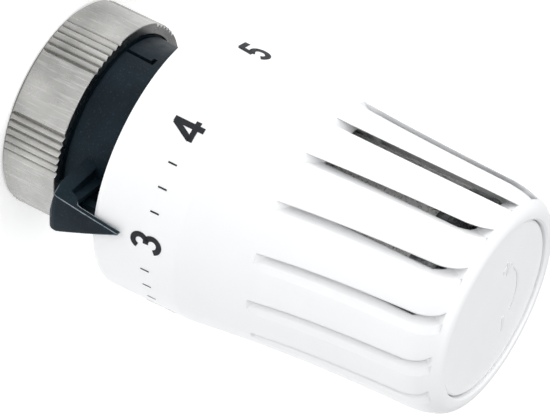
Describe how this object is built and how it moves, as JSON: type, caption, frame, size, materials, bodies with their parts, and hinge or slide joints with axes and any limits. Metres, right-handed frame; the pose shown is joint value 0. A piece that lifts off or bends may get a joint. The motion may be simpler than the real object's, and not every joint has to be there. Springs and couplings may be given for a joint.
{
  "type": "thermostatic radiator valve head",
  "caption": "Thermostatic radiator valve head: numbered handwheel with slots over a liquid sensor, pointer base, push pin and M30 union nut.",
  "frame": {"origin": "centre of the union nut's valve-side face, on the head's axis", "axes": "+Z along the head's axis from the valve to the numbered end; the pointer sits at about -50 degrees from +X about +Z"},
  "size_m": [0.0484, 0.0484, 0.086],
  "materials": {
    "nickel_plated_brass": "satin nickel plating",
    "spring_steel": "plain drawn wire and strip",
    "dark_plastic": "fine moulded texture",
    "white_plastic": "smooth moulded",
    "grey_plastic": "moulded",
    "sensor_steel": "mottled tin plating",
    "brass": "turned"
  },
  "bodies": {
    "base": {"base_housing": "dark_plastic", "nut_retaining_ring": "spring_steel", "pin_guide_bush": "brass"},
    "nut": {"union_nut": "nickel_plated_brass"},
    "carrier": {"sensor_carrier": "grey_plastic", "sensor_can": "sensor_steel", "sensor_cap": "dark_plastic", "sensor_end_plate": "sensor_steel", "filling_plug": "brass", "bellows": "brass"},
    "wheel": {"handwheel": "white_plastic", "adjusting_sleeve": "grey_plastic", "thrust_washer": "spring_steel", "wheel_snap_ring": "spring_steel", "end_disc": "white_plastic", "limit_clips": "dark_plastic"},
    "plunger": {"bellows_plunger": "spring_steel", "bellows_cap": "brass", "spring_cover": "brass", "overtravel_spring": "spring_steel"},
    "pin": {"push_pin": "spring_steel", "overtravel_cup": "brass", "cup_circlip": "spring_steel"}
  },
  "joints": [
    {"name": "nut_turn", "type": "hinge", "parent": "base", "child": "nut", "pos_m": [0, 0, 0.0055], "axis": [0, 0, 1], "continuous": true},
    {"name": "sensor_lift", "type": "slide", "parent": "base", "child": "carrier", "axis": [0, 0, 1], "range_m": [-0.00233, 0.00167]},
    {"name": "handwheel_turn", "type": "hinge", "parent": "carrier", "child": "wheel", "pos_m": [0, 0, 0.04], "axis": [0, 0, 1], "range_deg": [-140, 100]},
    {"name": "sensor_stroke", "type": "slide", "parent": "carrier", "child": "plunger", "axis": [0, 0, 1], "range_m": [-0.0015, 0.001], "deforming": ["bellows"]},
    {"name": "overtravel", "type": "slide", "parent": "plunger", "child": "pin", "axis": [0, 0, 1], "range_m": [0, 0.003], "stiffness_N_per_m": 4000, "springref_m": -0.003, "deforming": ["overtravel_spring"]}
  ],
  "couplings": [
    {"joint": "handwheel_turn", "follows": "sensor_lift", "rad_per_m": 1047.2}
  ]
}
